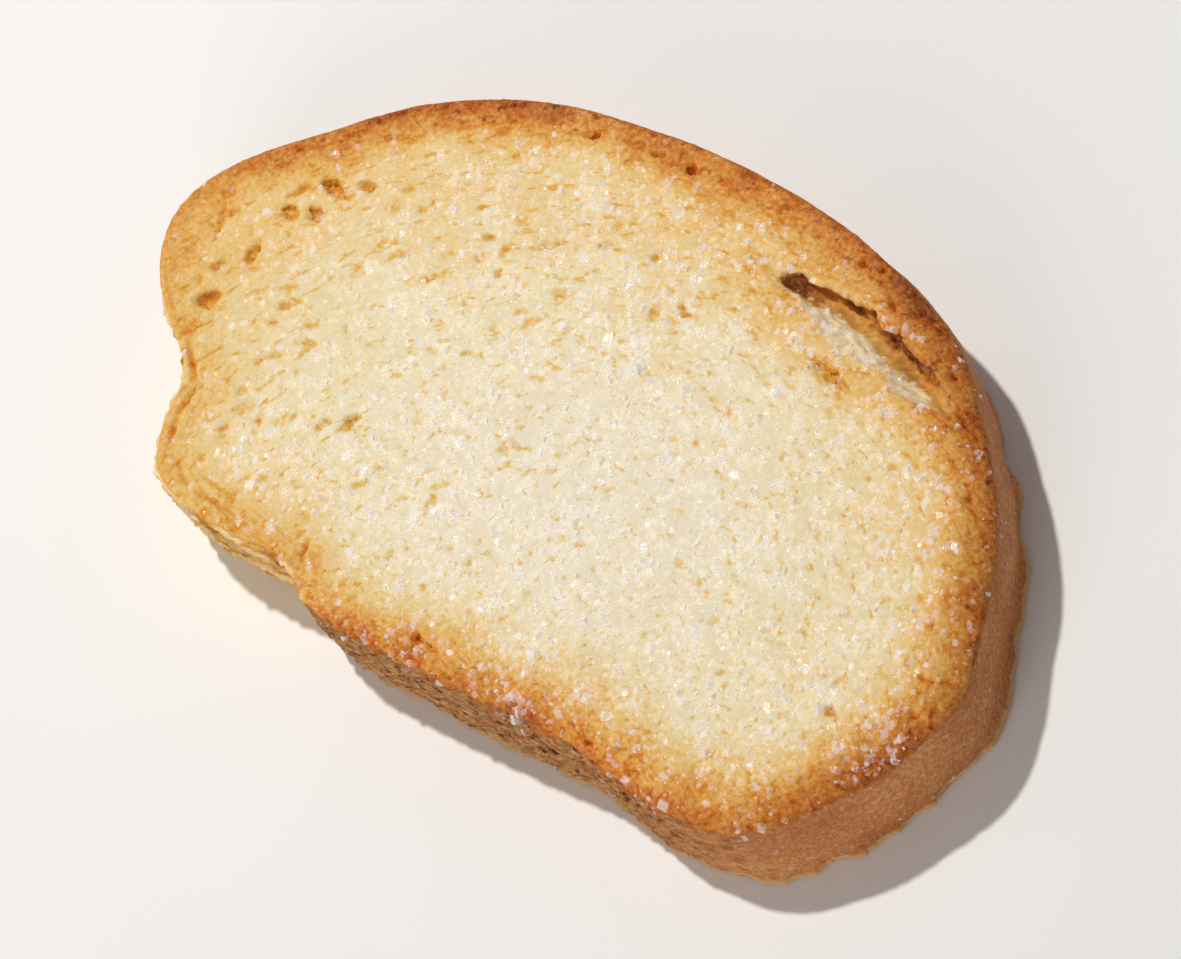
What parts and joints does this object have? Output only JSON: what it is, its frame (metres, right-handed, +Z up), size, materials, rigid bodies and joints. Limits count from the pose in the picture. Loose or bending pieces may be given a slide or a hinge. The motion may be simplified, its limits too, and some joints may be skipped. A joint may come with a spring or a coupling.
{
  "type": "rusk",
  "caption": "Sweet rusk: a slice of twice-baked milk loaf with a domed brown crust, a torn lobe at one end and a sugared face, lying flat.",
  "frame": {"origin": "under the middle of the slice, on the surface it lies on", "axes": "+X along the slice from its torn left end to its rounded right end, +Y from the base crust to the domed top crust, +Z up out of the sugared cut face"},
  "size_m": [0.0966, 0.0578, 0.0115],
  "materials": {
    "baked_crumb": "dry, porous, pale golden crumb with a brown crust and granulated sugar",
    "sugar_grains": "clear granulated sugar crystals with flat shining facets"
  },
  "bodies": {
    "root": {"rusk": "baked_crumb"}
  },
  "joints": []
}
